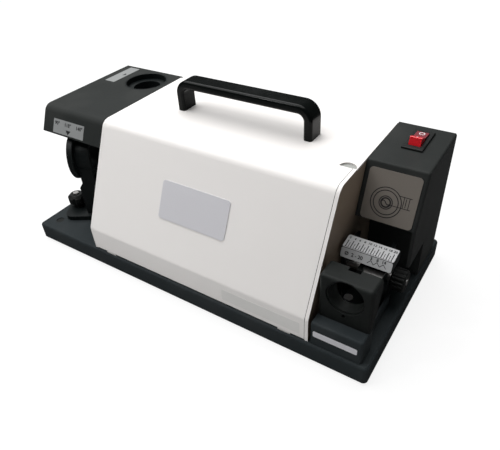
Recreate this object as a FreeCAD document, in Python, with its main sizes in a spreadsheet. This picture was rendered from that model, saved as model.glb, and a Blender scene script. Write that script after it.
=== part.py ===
"""Bench drill bit sharpener: base casting, sheet enclosure, left grinding stations and right setting station.

Frame: millimetres, +Z up, +X along the length to the right, +Y to the back.
The origin is on the table, below the middle of the base.
"""
import FreeCAD, Part
import math
import os
import Sketcher

NEAR = 0.01
doc = FreeCAD.newDocument("drill_bit_sharpener")
sheet = doc.addObject("Spreadsheet::Sheet", "sizes")
finished = []
rows = []


class Size:
    """A length or an angle: its number, and the same sum written with cells of the sheet."""

    def __init__(self, value, text):
        self.value = value
        self.text = text

    def __add__(self, other):
        other = as_size(other)
        return Size(self.value + other.value, f"({self.text} + {other.text})")

    def __sub__(self, other):
        other = as_size(other)
        return Size(self.value - other.value, f"({self.text} - {other.text})")

    def __mul__(self, other):
        other = as_size(other)
        return Size(self.value * other.value, f"({self.text} * {other.text})")

    def __truediv__(self, other):
        other = as_size(other)
        return Size(self.value / other.value, f"({self.text} / {other.text})")

    def __neg__(self):
        return Size(-self.value, f"(0 - {self.text})")

    def __radd__(self, other):
        return as_size(other) + self

    def __rsub__(self, other):
        return as_size(other) - self

    def __rmul__(self, other):
        return as_size(other) * self


def as_size(value):
    return value if isinstance(value, Size) else Size(float(value), repr(float(value)))


def tan(angle):
    return Size(math.tan(math.radians(angle.value)), f"tan({angle.text} * 1deg)")


def cos(angle):
    return Size(math.cos(math.radians(angle.value)), f"cos({angle.text} * 1deg)")


def sin(angle):
    return Size(math.sin(math.radians(angle.value)), f"sin({angle.text} * 1deg)")


def size(name, value):
    """A driving dimension: one named cell of the sheet."""
    rows.append(name)
    sheet.set(f"A{len(rows)}", name)
    sheet.set(f"B{len(rows)}", str(value))
    sheet.setAlias(f"B{len(rows)}", name)
    return Size(float(value), f"sizes.{name}")


def bind(thing, **properties):
    """Tie properties of an object to sums of the sheet; a double underscore stands for a dot."""
    for name, value in properties.items():
        thing.setExpression(name.replace("__", "."), as_size(value).text)


def new_body(label):
    body = doc.addObject("PartDesign::Body", label)
    body.Label = label
    finished.append(body)
    return body


def circle(x, y, radius):
    return ("circle", as_size(x), as_size(y), as_size(radius))


def rectangle(x0, y0, x1, y1):
    return [(x0, y0), (x1, y0), (x1, y1), (x0, y1)]


def pin_point(sketch, geometry, point, x, y):
    """Hold one point of a sketch at its place from the sketch's origin."""
    for kind, place in (("DistanceX", x), ("DistanceY", y)):
        number = sketch.addConstraint(Sketcher.Constraint(kind, -1, 1, geometry, point, place.value))
        sketch.setExpression(f"Constraints[{number}]", place.text)


def draw_circle(sketch, x, y, radius):
    round_edge = Part.Circle(FreeCAD.Vector(x.value, y.value, 0), FreeCAD.Vector(0, 0, 1), radius.value)
    number = sketch.addGeometry(round_edge, False)
    pin_point(sketch, number, 3, x, y)
    held = sketch.addConstraint(Sketcher.Constraint("Radius", number, radius.value))
    sketch.setExpression(f"Constraints[{held}]", radius.text)


def draw_polygon(sketch, points):
    points = [(as_size(x), as_size(y)) for x, y in points]
    corners = [FreeCAD.Vector(x.value, y.value, 0) for x, y in points]
    lines = []
    for start, end in zip(corners, corners[1:] + corners[:1]):
        lines.append(sketch.addGeometry(Part.LineSegment(start, end), False))
    for line, following in zip(lines, lines[1:] + lines[:1]):
        sketch.addConstraint(Sketcher.Constraint("Coincident", line, 2, following, 1))
    for line, (x, y) in zip(lines, points):
        pin_point(sketch, line, 1, x, y)


def new_sketch(body, plane, offset, loops, shift=(0, 0), turn=0):
    """A sketch of closed loops on an origin plane, moved along its normal, and shifted and turned in it."""
    sketch = body.newObject("Sketcher::SketchObject", f"{body.Name}_sketch")
    support = next(item for item in body.Origin.OriginFeatures if item.Role == f"{plane}_Plane")
    sketch.AttachmentSupport = [(support, "")]
    sketch.MapMode = "FlatFace"
    turned = FreeCAD.Rotation(FreeCAD.Vector(0, 0, 1), as_size(turn).value)
    sketch.AttachmentOffset = FreeCAD.Placement(FreeCAD.Vector(0, 0, 0), turned)
    bind(sketch, AttachmentOffset__Base__x=shift[0], AttachmentOffset__Base__y=shift[1])
    bind(sketch, AttachmentOffset__Base__z=offset)
    for loop in loops:
        if loop[0] == "circle":
            draw_circle(sketch, *loop[1:])
        else:
            draw_polygon(sketch, loop)
    return sketch


def extruded(body, kind, plane, start, length, loops, shift=(0, 0), turn=0):
    """A pad or pocket that runs from start along the axis that the plane leaves out.

    The XZ plane looks along -Y, so there the sketch stands at the far end.
    """
    start = as_size(start)
    offset = -(start + length) if plane == "XZ" else start
    sketch = new_sketch(body, plane, offset, loops, shift, turn)
    feature = body.newObject(f"PartDesign::{kind}", f"{body.Name}_{kind.lower()}")
    feature.Profile = sketch
    bind(feature, Length=length)
    return feature


def pad(body, plane, start, length, *loops):
    extruded(body, "Pad", plane, start, length, loops)


def cut(body, plane, start, length, *loops, shift=(0, 0), turn=0):
    body.recompute(True)
    before = body.Shape.Volume
    extruded(body, "Pocket", plane, start, length, loops, shift, turn).Reversed = True
    body.recompute(True)
    if body.Shape.Volume > before - NEAR:
        raise RuntimeError(f"{body.Label}: a pocket removed nothing")


def edges_along(body, direction, **place):
    """Straight edges of a body along one axis, with their middles at the given places."""
    body.recompute(True)
    names = []
    for number, edge in enumerate(body.Shape.Edges, 1):
        straight = edge.Curve.TypeId == "Part::GeomLine"
        if not straight or abs(getattr(edge.Curve.Direction, direction)) < 1 - NEAR:
            continue
        middle = edge.CenterOfMass
        if all(abs(getattr(middle, axis) - as_size(at).value) < NEAR for axis, at in place.items()):
            names.append(f"Edge{number}")
    return names


def edges_in_plane(body, axis, at, **limits):
    """Edges that lie in one plane square to an axis; limits keep those with z above or x beyond a value."""
    body.recompute(True)
    names = []
    for number, edge in enumerate(body.Shape.Edges, 1):
        box = edge.BoundBox
        low, high = getattr(box, f"{axis.upper()}Min"), getattr(box, f"{axis.upper()}Max")
        if max(abs(low - as_size(at).value), abs(high - as_size(at).value)) > NEAR:
            continue
        middle = edge.CenterOfMass
        if all(getattr(middle, name) > as_size(value).value + NEAR for name, value in limits.items()):
            names.append(f"Edge{number}")
    return names


def round_edges(body, radius, names):
    if not names:
        raise RuntimeError(f"{body.Label}: no edge to round")
    before = body.Tip
    fillet = body.newObject("PartDesign::Fillet", f"{body.Name}_fillet")
    fillet.Base = (before, names)
    bind(fillet, Radius=radius)


def place(body, x, y, z, axis=(0, 0, 1), angle=0):
    body.Placement = FreeCAD.Placement(FreeCAD.Vector(), FreeCAD.Rotation(FreeCAD.Vector(*axis), 1))
    bind(body, Placement__Base__x=x, Placement__Base__y=y, Placement__Base__z=z)
    body.setExpression("Placement.Rotation.Angle", f"{as_size(angle).text} * 1deg")


def turned(label, profile, x, y, z, axis="z"):
    """A turned piece: its profile holds (radius, distance along the axis) points."""
    body = new_body(label)
    sketch = new_sketch(body, "XZ", 0, [profile])
    revolution = body.newObject("PartDesign::Revolution", f"{label}_turned")
    revolution.Profile = sketch
    revolution.ReferenceAxis = (sketch, ["V_Axis"])
    lay = {"z": ((0, 0, 1), 0), "x": ((0, 1, 0), 90), "y": ((1, 0, 0), -90)}
    place(body, x, y, z, *lay[axis])
    return body


def rod(name, x, y, z, radius, length, turn=0):
    """A plain upright cylinder from the given foot, turned about X where asked."""
    bar = doc.addObject("Part::Cylinder", name)
    bind(bar, Radius=radius, Height=length)
    place(bar, x, y, z, (1, 0, 0), turn)
    return bar


def group(label, members):
    """Like pieces that share one node, each a solid of its own."""
    compound = doc.addObject("Part::Compound", label)
    compound.Label = label
    compound.Links = members
    finished.append(compound)


def screw(name, x, y, seat, head_radius, head_height, shank_radius, shank_length, way=1):
    """A screw along Z: its head stands on the seat, its shank goes the other way."""
    head_foot = seat if way > 0 else seat - head_height
    shank_foot = seat - shank_length if way > 0 else seat
    head = rod(f"{name}_head", x, y, head_foot, head_radius, head_height)
    shank = rod(f"{name}_shank", x, y, shank_foot, shank_radius, shank_length)
    whole = doc.addObject("Part::Fuse", name)
    whole.Base = head
    whole.Tool = shank
    return whole


# Base casting: its outline, its deck and its hollow underside
foot_standout = size("foot_standout", 3)
base_length = size("base_length", 380)
base_depth = size("base_depth", 180)
base_height = size("base_height", 17)
base_corner = size("base_corner", 4)
base_edge = size("base_edge", 2.5)
base_wall = size("base_wall", 6)
deck_thickness = size("deck_thickness", 7)
rib_thickness = size("rib_thickness", 5)
rib_offset = size("rib_offset", 62)
rib_relief = size("rib_relief", 2)
deck = foot_standout + base_height
left_end = -base_length / 2
right_end = base_length / 2
front_edge = -base_depth / 2
back_edge = base_depth / 2

# Places of the enclosure, the hood and the right housing on the base
side_margin = size("side_margin", 2)
front_margin = size("front_margin", 2.5)
back_margin = size("back_margin", 11.5)
hood_width = size("hood_width", 84)
housing_width = size("housing_width", 50)
seam_gap = size("seam_gap", 0.4)
cover_height = size("cover_height", 120)
flange_height = size("flange_height", 24)
front_slope = size("front_slope", 26.2)
sheet_thickness = size("sheet_thickness", 1.5)
plate_thickness = size("plate_thickness", 3)
nose_round = size("nose_round", 10)
bend_round = size("bend_round", 6)
top_depth = size("top_depth", 90.5)
hood_left = left_end + side_margin
cover_left = hood_left + hood_width
housing_right = right_end - side_margin
cover_right = housing_right - housing_width
cover_front = front_edge + front_margin
cover_back = back_edge - back_margin
cover_top = deck + cover_height
bend_z = deck + flange_height
seam_y = cover_back - top_depth
cover_middle = (cover_left + cover_right) / 2


def slope_y(z):
    """The outer face of the sloped front at a height."""
    return cover_front + (z - bend_z) * tan(front_slope)


corner_y = slope_y(cover_top)

# Point angle station: the swivel turns about a bolt below the grinding point
point_angle = size("point_angle", 118)
pivot_from_hood = size("pivot_from_hood", 56)
pivot_from_front = size("pivot_from_front", 66)
stud_reach = size("stud_reach", 46)
stud_radius = size("stud_radius", 3)
stud_slot_width = size("stud_slot_width", 10)
stud_slot_length = size("stud_slot_length", 34)
pivot_radius = size("pivot_radius", 4)
fit = size("fit", 0.05)
pivot_x = hood_left + pivot_from_hood
pivot_y = front_edge + pivot_from_front
swivel_turn = 270 - point_angle / 2

# Feet and the places of the screws that hold them
foot_radius = size("foot_radius", 10)
foot_boss_radius = size("foot_boss_radius", 12)
foot_inset_x = size("foot_inset_x", 16)
foot_inset_y = size("foot_inset_y", 15.5)
foot_screw_radius = size("foot_screw_radius", 2)
foot_head_radius = size("foot_head_radius", 4)
foot_head_height = size("foot_head_height", 2.6)
foot_sink = size("foot_sink", 3.2)
screw_clearance = size("screw_clearance", 0.25)
foot_places = []
for side in (-1, 1):
    for end in (-1, 1):
        foot_places.append((side * (right_end - foot_inset_x), end * (back_edge - foot_inset_y)))

# End plate screws stand on the bent feet of the end plates
plate_foot = size("plate_foot", 16)
plate_screw_inset = size("plate_screw_inset", 10)
plate_screw_spread = size("plate_screw_spread", 50)
plate_screw_radius = size("plate_screw_radius", 2.5)
plate_screw_head = size("plate_screw_head", 4.5)
plate_screw_head_height = size("plate_screw_head_height", 3)
plate_screw_length = size("plate_screw_length", 12)
plate_screw_places = []
for across in (cover_left + plate_thickness + plate_screw_inset, cover_right - plate_thickness - plate_screw_inset):
    for end in (-1, 1):
        plate_screw_places.append((across, end * plate_screw_spread))

# Bottom tabs of the front cover and their slots in the deck
tab_width = size("tab_width", 12)
tab_inset = size("tab_inset", 22)
tab_drop = size("tab_drop", 3.2)
tab_lift = size("tab_lift", 1.2)
tab_play = size("tab_play", 0.6)
tab_swing = size("tab_swing", 3.2)
tab_places = (cover_left + tab_inset, cover_right - tab_inset)

# Setting station in the right recess
station_gap = size("station_gap", 2.6)
station_right_gap = size("station_right_gap", 4.5)
ledge_depth = size("ledge_depth", 18.5)
socket_setback = size("socket_setback", 10.8)
bracket_setback = size("bracket_setback", 51.5)
bracket_depth = size("bracket_depth", 32)
well_margin = size("well_margin", 6)
station_left = cover_right + station_gap
station_right = housing_right - station_right_gap
station_middle = (station_left + station_right) / 2
ledge_back = cover_front + ledge_depth
bracket_front = cover_front + bracket_setback

under_deck = base_height - deck_thickness
base = new_body("base_casting")
pad(base, "XY", foot_standout, base_height, rectangle(left_end, front_edge, right_end, back_edge))
round_edges(base, base_corner, edges_along(base, "z"))
round_edges(base, base_edge, edges_in_plane(base, "z", deck))
inner_x = right_end - base_wall
inner_y = back_edge - base_wall
cut(base, "XY", foot_standout, under_deck, rectangle(-inner_x, -inner_y, inner_x, inner_y))
pad(base, "XY", foot_standout, under_deck, *[circle(x, y, foot_boss_radius) for x, y in foot_places])
for side in (-1, 1):
    rib_x = side * rib_offset
    rib_y = inner_y + base_wall / 2
    rib = rectangle(rib_x - rib_thickness / 2, -rib_y, rib_x + rib_thickness / 2, rib_y)
    pad(base, "XY", foot_standout + rib_relief, under_deck - rib_relief, rib)
foot_holes = [circle(x, y, foot_screw_radius + screw_clearance) for x, y in foot_places]
cut(base, "XY", foot_standout, base_height, *foot_holes)
foot_sinks = [circle(x, y, foot_head_radius + screw_clearance) for x, y in foot_places]
cut(base, "XY", deck - foot_sink, foot_sink, *foot_sinks)
plate_holes = [circle(x, y, plate_screw_radius + screw_clearance) for x, y in plate_screw_places]
cut(base, "XY", deck - deck_thickness, deck_thickness, *plate_holes)
for tab_x in tab_places:
    slot_reach = tab_width / 2 + tab_play
    slot = rectangle(tab_x - slot_reach, cover_front - tab_play, tab_x + slot_reach,
                     cover_front + sheet_thickness + tab_swing)
    cut(base, "XY", deck - deck_thickness, deck_thickness, slot)
well = rectangle(station_left + well_margin, ledge_back + well_margin,
                 station_right - well_margin, bracket_front - well_margin / 2)
cut(base, "XY", deck - deck_thickness, deck_thickness, well)
cut(base, "XY", deck - deck_thickness, deck_thickness, circle(pivot_x, pivot_y, pivot_radius + fit))
stud_slot = rectangle(stud_reach - stud_slot_width / 2, -stud_slot_length / 2,
                      stud_reach + stud_slot_width / 2, stud_slot_length / 2)
cut(base, "XY", deck - deck_thickness, deck_thickness, stud_slot, shift=(pivot_x, pivot_y), turn=swivel_turn)

# Rubber feet, each with a hole for its screw
feet = []
foot_screws = []
for number, (x, y) in enumerate(foot_places, 1):
    pad_of_rubber = rod(f"foot_{number}", x, y, as_size(0), foot_radius, foot_standout)
    hole = rod(f"foot_hole_{number}", x, y, as_size(0), foot_screw_radius + screw_clearance, foot_standout)
    foot = doc.addObject("Part::Cut", f"rubber_foot_{number}")
    foot.Base = pad_of_rubber
    foot.Tool = hole
    feet.append(foot)
    shank_length = base_height - foot_sink + foot_standout / 2
    foot_screws.append(screw(f"foot_screw_{number}", x, y, deck - foot_sink, foot_head_radius,
                             foot_head_height, foot_screw_radius, shank_length))
group("rubber_feet", feet)
group("foot_screws", foot_screws)

# Motor axis and wheel place, which the left end plate opens for
motor_height = size("motor_height", 59)
motor_setback = size("motor_setback", 68.5)
shaft_hole_radius = size("shaft_hole_radius", 14)
motor_z = deck + motor_height
motor_y = cover_back - motor_setback
lead_hole_radius = size("lead_hole_radius", 6)
lead_hole_height = size("lead_hole_height", 30)


def end_plate(label, left, foot_left):
    """A bent plate with the enclosure's profile and a foot on the deck."""
    body = new_body(label)
    inner_top = cover_top - sheet_thickness
    inner_back = cover_back - sheet_thickness
    profile = [(cover_front, deck), (cover_front, bend_z), (corner_y, cover_top), (seam_y, cover_top),
               (seam_y, inner_top), (inner_back, inner_top), (inner_back, deck)]
    pad(body, "YZ", left, plate_thickness, profile)
    round_edges(body, nose_round, edges_along(body, "x", y=corner_y, z=cover_top))
    round_edges(body, bend_round, edges_along(body, "x", y=cover_front, z=bend_z))
    foot_y = plate_screw_spread + plate_foot
    pad(body, "XY", deck, plate_thickness, rectangle(foot_left, -foot_y, foot_left + plate_foot, foot_y))
    holes = [circle(x, y, plate_screw_radius + screw_clearance) for x, y in plate_screw_places
             if foot_left.value < x.value < (foot_left + plate_foot).value]
    cut(body, "XY", deck, plate_thickness, *holes)
    return body


end_plate_left = end_plate("end_plate_left", cover_left, cover_left + plate_thickness)
cut(end_plate_left, "YZ", cover_left, plate_thickness, circle(motor_y, motor_z, shaft_hole_radius))
right_plate_x = cover_right - plate_thickness
end_plate_right = end_plate("end_plate_right", right_plate_x, right_plate_x - plate_foot)
lead_place = circle(motor_y + motor_setback / 2, deck + lead_hole_height, lead_hole_radius)
cut(end_plate_right, "YZ", right_plate_x, plate_thickness, lead_place)
plate_screws = []
for number, (x, y) in enumerate(plate_screw_places, 1):
    plate_screws.append(screw(f"plate_screw_{number}", x, y, deck + plate_thickness, plate_screw_head,
                              plate_screw_head_height, plate_screw_radius, plate_screw_length))
group("end_plate_screws", plate_screws)

# Handle places, shared by the top cover's holes
handle_pitch = size("handle_pitch", 134)
handle_setback = size("handle_setback", 59.3)
handle_height = size("handle_height", 30)
handle_depth = size("handle_depth", 19)
handle_bar = size("handle_bar", 8)
handle_corner = size("handle_corner", 14)
handle_edge = size("handle_edge", 2.5)
handle_hole_depth = size("handle_hole_depth", 14)
handle_screw_radius = size("handle_screw_radius", 2.5)
handle_screw_head = size("handle_screw_head", 5)
handle_screw_head_height = size("handle_screw_head_height", 3)
handle_y = cover_back - handle_setback
handle_places = [(cover_middle + side * handle_pitch / 2, handle_y) for side in (-1, 1)]

# Top cover: top and back in one bent sheet, with a ledge below the seam, a finger notch and vents
lip_reach = size("lip_reach", 10)
notch_radius = size("notch_radius", 7)
notch_inset = size("notch_inset", 7.6)
back_round = size("back_round", 4)
vent_count = 9
vent_pitch = size("vent_pitch", 11)
vent_width = size("vent_width", 4)
vent_height = size("vent_height", 44)
vent_rise = size("vent_rise", 34)
inner_top = cover_top - sheet_thickness
inner_back = cover_back - sheet_thickness
top_cover = new_body("top_cover")
cover_width = cover_right - cover_left
pad(top_cover, "YZ", cover_left, cover_width,
    [(seam_y, cover_top), (cover_back, cover_top), (cover_back, deck), (inner_back, deck),
     (inner_back, inner_top), (seam_y, inner_top)])
round_edges(top_cover, back_round, edges_along(top_cover, "x", y=cover_back, z=cover_top))
inside_left = cover_left + plate_thickness + seam_gap
inside_right = cover_right - plate_thickness - seam_gap
inside_width = inside_right - inside_left
lip = rectangle(seam_y - lip_reach, inner_top - sheet_thickness, seam_y + lip_reach, inner_top)
pad(top_cover, "YZ", inside_left, inside_width, lip)
cut(top_cover, "XY", inner_top, sheet_thickness, circle(cover_right - notch_inset, seam_y, notch_radius))
cut(top_cover, "XY", inner_top, sheet_thickness,
    *[circle(x, y, handle_screw_radius + screw_clearance) for x, y in handle_places])
vents = []
for number in range(vent_count):
    vent_x = cover_middle + (number - (vent_count - 1) / 2) * vent_pitch
    vents.append(rectangle(vent_x - vent_width / 2, deck + vent_rise,
                           vent_x + vent_width / 2, deck + vent_rise + vent_height))
cut(top_cover, "XZ", inner_back, sheet_thickness, *vents)

# Front cover: the sloped sheet between the end plates, standing on two tabs
cover_foot = deck + tab_lift
slope_offset = sheet_thickness / cos(front_slope)
inner_bend = bend_z - sheet_thickness * tan(front_slope / 2)
inner_corner_y = slope_y(inner_top) + slope_offset
front_seam = seam_y - seam_gap
front_cover = new_body("front_cover")
pad(front_cover, "YZ", inside_left, inside_width,
    [(cover_front, cover_foot), (cover_front, bend_z), (corner_y, cover_top), (front_seam, cover_top),
     (front_seam, inner_top), (inner_corner_y, inner_top), (cover_front + sheet_thickness, inner_bend),
     (cover_front + sheet_thickness, cover_foot)])
round_edges(front_cover, nose_round, edges_along(front_cover, "x", y=corner_y, z=cover_top))
round_edges(front_cover, nose_round - sheet_thickness,
            edges_along(front_cover, "x", y=inner_corner_y, z=inner_top))
round_edges(front_cover, bend_round, edges_along(front_cover, "x", y=cover_front, z=bend_z))
round_edges(front_cover, bend_round - sheet_thickness,
            edges_along(front_cover, "x", y=cover_front + sheet_thickness, z=inner_bend))
tabs = [rectangle(x - tab_width / 2, cover_foot - tab_drop, x + tab_width / 2, cover_foot) for x in tab_places]
pad(front_cover, "XZ", cover_front, sheet_thickness, *tabs)

# Plain plate on the sloped front
name_plate_width = size("name_plate_width", 72)
name_plate_height = size("name_plate_height", 35)
name_plate_rise = size("name_plate_rise", 54)
name_plate_shift = size("name_plate_shift", 3)
label_thickness = size("label_thickness", 0.6)
label_corner = size("label_corner", 3)


def sloped_plate(label, width, height, x, y, z, slope):
    """A thin plate with round corners, laid on a face that leans back by the slope."""
    body = new_body(label)
    pad(body, "XY", 0, label_thickness, rectangle(-width / 2, -height / 2, width / 2, height / 2))
    round_edges(body, label_corner, edges_along(body, "z"))
    place(body, x, y, z, (1, 0, 0), 90 - slope)


sloped_plate("name_plate", name_plate_width, name_plate_height, cover_middle - name_plate_shift,
             cover_front + name_plate_rise * sin(front_slope),
             bend_z + name_plate_rise * cos(front_slope), front_slope)

# Carrying handle: a flat strap with two legs, screwed from inside the top cover
handle = new_body("carry_handle")
reach = handle_pitch / 2 + handle_bar / 2
inner_reach = reach - handle_bar
handle_top = cover_top + handle_height
strap_under = handle_top - handle_bar
handle_front = handle_y - handle_depth / 2
pad(handle, "XZ", handle_front, handle_depth,
    [(cover_middle - reach, cover_top), (cover_middle - reach, handle_top), (cover_middle + reach, handle_top),
     (cover_middle + reach, cover_top), (cover_middle + inner_reach, cover_top),
     (cover_middle + inner_reach, strap_under), (cover_middle - inner_reach, strap_under),
     (cover_middle - inner_reach, cover_top)])
round_edges(handle, handle_corner, edges_along(handle, "y", z=handle_top))
round_edges(handle, handle_corner - handle_bar, edges_along(handle, "y", z=strap_under))
handle_rim = edges_in_plane(handle, "y", handle_front, z=cover_top)
handle_rim += edges_in_plane(handle, "y", handle_front + handle_depth, z=cover_top)
round_edges(handle, handle_edge, handle_rim)
cut(handle, "XY", cover_top, handle_hole_depth,
    *[circle(x, y, handle_screw_radius + fit) for x, y in handle_places])
handle_screws = []
for number, (x, y) in enumerate(handle_places, 1):
    handle_screws.append(screw(f"handle_screw_{number}", x, y, inner_top, handle_screw_head,
                               handle_screw_head_height, handle_screw_radius,
                               handle_hole_depth - handle_edge, way=-1))
group("handle_screws", handle_screws)

# Left hood: back wall, top and a short sloped front, open below
hood_wall = size("hood_wall", 3)
hood_drop = size("hood_drop", 24)
hood_edge = size("hood_edge", 2.5)
chisel_setback = size("chisel_setback", 27.5)
chisel_inset = size("chisel_inset", 28.5)
sleeve_rim_radius = size("sleeve_rim_radius", 23)
chuck_bore = size("chuck_bore", 28.5)
hood_lip = cover_top - hood_drop
hood_right = cover_left - seam_gap
hood_inner = hood_wall / cos(front_slope)
chisel_x = cover_left - chisel_inset
chisel_y = cover_back - chisel_setback
hood_under = cover_top - hood_wall
hood = new_body("left_hood")
pad(hood, "YZ", hood_left, hood_right - hood_left,
    [(slope_y(hood_lip), hood_lip), (corner_y, cover_top), (cover_back, cover_top), (cover_back, deck),
     (cover_back - hood_wall, deck), (cover_back - hood_wall, hood_under),
     (slope_y(hood_under) + hood_inner, hood_under), (slope_y(hood_lip) + hood_inner, hood_lip)])
pad(hood, "YZ", hood_left, hood_wall,
    [(slope_y(hood_lip), hood_lip), (corner_y, cover_top), (cover_back, cover_top), (cover_back, hood_lip)])
round_edges(hood, nose_round, edges_along(hood, "x", y=corner_y, z=cover_top))
hood_rim = edges_in_plane(hood, "x", hood_left, z=hood_lip)
round_edges(hood, hood_edge, hood_rim)
cut(hood, "XY", hood_under, hood_wall, circle(chisel_x, chisel_y, sleeve_rim_radius + 2 * fit))

# Chisel edge sleeve in the top of the hood
sleeve_length = size("sleeve_length", 22)
sleeve_body_radius = size("sleeve_body_radius", 19)
sleeve_flange_radius = size("sleeve_flange_radius", 24.3)
sleeve_flange = size("sleeve_flange", 4)
sleeve_rim_wall = size("sleeve_rim_wall", 1.5)
sleeve_recess = size("sleeve_recess", 5.5)
bore_radius = chuck_bore / 2
flange_under = sleeve_length - hood_wall - sleeve_flange
turned("chisel_sleeve",
       [(bore_radius, 0), (sleeve_body_radius, 0), (sleeve_body_radius, flange_under),
        (sleeve_flange_radius, flange_under), (sleeve_flange_radius, sleeve_length - hood_wall),
        (sleeve_rim_radius, sleeve_length - hood_wall), (sleeve_rim_radius, sleeve_length),
        (sleeve_rim_radius - sleeve_rim_wall, sleeve_length),
        (sleeve_rim_radius - sleeve_rim_wall, sleeve_length - sleeve_recess),
        (bore_radius, sleeve_length - sleeve_recess)],
       chisel_x, chisel_y, cover_top - sleeve_length)

# Right housing: a shell with a leaning panel, a recess below it and a cheek open for the thumb wheel
housing_wall = size("housing_wall", 2.5)
housing_edge = size("housing_edge", 2)
housing_top_depth = size("housing_top_depth", 71)
panel_slope = size("panel_slope", 19.4)
shelf_height = size("shelf_height", 75)
recess_setback = size("recess_setback", 48.5)
cheek_height = size("cheek_height", 39)
panel_top_y = cover_back - housing_top_depth
shelf_z = deck + shelf_height
recess_y = cover_back - recess_setback
housing_left = cover_right + seam_gap
panel_offset = housing_wall / cos(panel_slope)


def panel_y(z):
    """The outer face of the leaning panel at a height."""
    return panel_top_y - (cover_top - z) * tan(panel_slope)


switch_length = size("switch_length", 34.4)
switch_width = size("switch_width", 17.2)
switch_setback = size("switch_setback", 27)
switch_step = size("switch_step", 1.4)
switch_inset = size("switch_inset", 24)
switch_x = housing_right - switch_inset
switch_y = cover_back - switch_setback
gland_rise = size("gland_rise", 26)
gland_neck_radius = size("gland_neck_radius", 7.5)
gland_z = deck + gland_rise
housing_middle = (housing_left + housing_right) / 2
under_top = cover_top - housing_wall
housing = new_body("right_housing")
pad(housing, "YZ", housing_left, housing_right - housing_left,
    [(recess_y, deck), (recess_y, shelf_z), (panel_y(shelf_z), shelf_z), (panel_top_y, cover_top),
     (cover_back, cover_top), (cover_back, deck)])
cheek_front = panel_y(shelf_z)
pad(housing, "YZ", housing_right - housing_wall, housing_wall,
    rectangle(cheek_front, deck, recess_y + housing_wall, shelf_z))
round_edges(housing, housing_edge, edges_along(housing, "x", y=panel_top_y, z=cover_top))
round_edges(housing, housing_edge, edges_in_plane(housing, "x", housing_right, z=deck))
over_shelf = shelf_z + housing_wall
cut(housing, "YZ", housing_left, housing_right - housing_wall - housing_left,
    [(recess_y + housing_wall, deck), (recess_y + housing_wall, over_shelf),
     (panel_y(over_shelf) + panel_offset, over_shelf), (panel_y(under_top) + panel_offset, under_top),
     (cover_back - housing_wall, under_top), (cover_back - housing_wall, deck)])
cut(housing, "YZ", housing_right - housing_wall, housing_wall,
    rectangle(cheek_front - housing_wall, deck, recess_y, deck + cheek_height))
hole_x = switch_width / 2 - switch_step + 2 * fit
hole_y = switch_length / 2 - switch_step + 2 * fit
cut(housing, "XY", under_top, housing_wall,
    rectangle(switch_x - hole_x, switch_y - hole_y, switch_x + hole_x, switch_y + hole_y))
cut(housing, "XZ", cover_back - housing_wall, housing_wall,
    circle(housing_middle, gland_z, gland_neck_radius + 2 * fit))

# Plate on the leaning panel
info_plate_width = size("info_plate_width", 42)
info_plate_height = size("info_plate_height", 42)
info_plate_drop = size("info_plate_drop", 26)
sloped_plate("info_plate", info_plate_width, info_plate_height, housing_middle,
             panel_top_y - info_plate_drop * sin(panel_slope),
             cover_top - info_plate_drop * cos(panel_slope), panel_slope)

# Rocker switch: a body with a frame, and the rocker on its cross axis
switch_frame = size("switch_frame", 1.8)
switch_depth = size("switch_depth", 20)
switch_well = size("switch_well", 9)
rocker_length = size("rocker_length", 22)
rocker_width = size("rocker_width", 9.8)
rocker_gap = size("rocker_gap", 1)
rocker_tilt = size("rocker_tilt", 14)
rocker_rise = size("rocker_rise", 0.3)
rocker_end = size("rocker_end", 5.5)
rocker_dip = size("rocker_dip", 3.5)
rocker_skirt = size("rocker_skirt", 3)
rocker_keel = size("rocker_keel", 6)
rocker_edge = size("rocker_edge", 0.8)
switch_body = new_body("switch_body")
frame_x = switch_width / 2
frame_y = switch_length / 2
pad(switch_body, "XY", cover_top, switch_frame,
    rectangle(switch_x - frame_x, switch_y - frame_y, switch_x + frame_x, switch_y + frame_y))
body_x = frame_x - switch_step
body_y = frame_y - switch_step
pad(switch_body, "XY", cover_top - switch_depth, switch_depth,
    rectangle(switch_x - body_x, switch_y - body_y, switch_x + body_x, switch_y + body_y))
round_edges(switch_body, rocker_edge, edges_in_plane(switch_body, "z", cover_top + switch_frame))
well_x = rocker_width / 2 + rocker_gap / 2
well_y = rocker_length / 2 + rocker_gap
cut(switch_body, "XY", cover_top - switch_well, switch_well + switch_frame,
    rectangle(switch_x - well_x, switch_y - well_y, switch_x + well_x, switch_y + well_y))
rocker = new_body("switch_rocker")
half_rocker = rocker_length / 2
pad(rocker, "YZ", -rocker_width / 2, rocker_width,
    [(-half_rocker, -rocker_skirt), (-half_rocker, rocker_end), (0, rocker_dip), (half_rocker, rocker_end),
     (half_rocker, -rocker_skirt), (0, -rocker_keel)])
rocker_top = edges_along(rocker, "x", z=rocker_end)
round_edges(rocker, rocker_edge, rocker_top)
place(rocker, switch_x, switch_y, cover_top + rocker_rise, (1, 0, 0), -rocker_tilt)

# Cable gland through the back of the right housing
gland_radius = size("gland_radius", 10)
gland_bore = size("gland_bore", 4)
gland_cap = size("gland_cap", 9)
gland_nut = size("gland_nut", 4)
turned("cable_gland",
       [(gland_bore, -gland_nut - housing_wall), (gland_radius, -gland_nut - housing_wall),
        (gland_radius, -housing_wall), (gland_neck_radius, -housing_wall), (gland_neck_radius, 0),
        (gland_radius, 0), (gland_radius, gland_cap / 2), (gland_neck_radius, gland_cap),
        (gland_bore, gland_cap)],
       housing_middle, cover_back, gland_z, "y")

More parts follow.
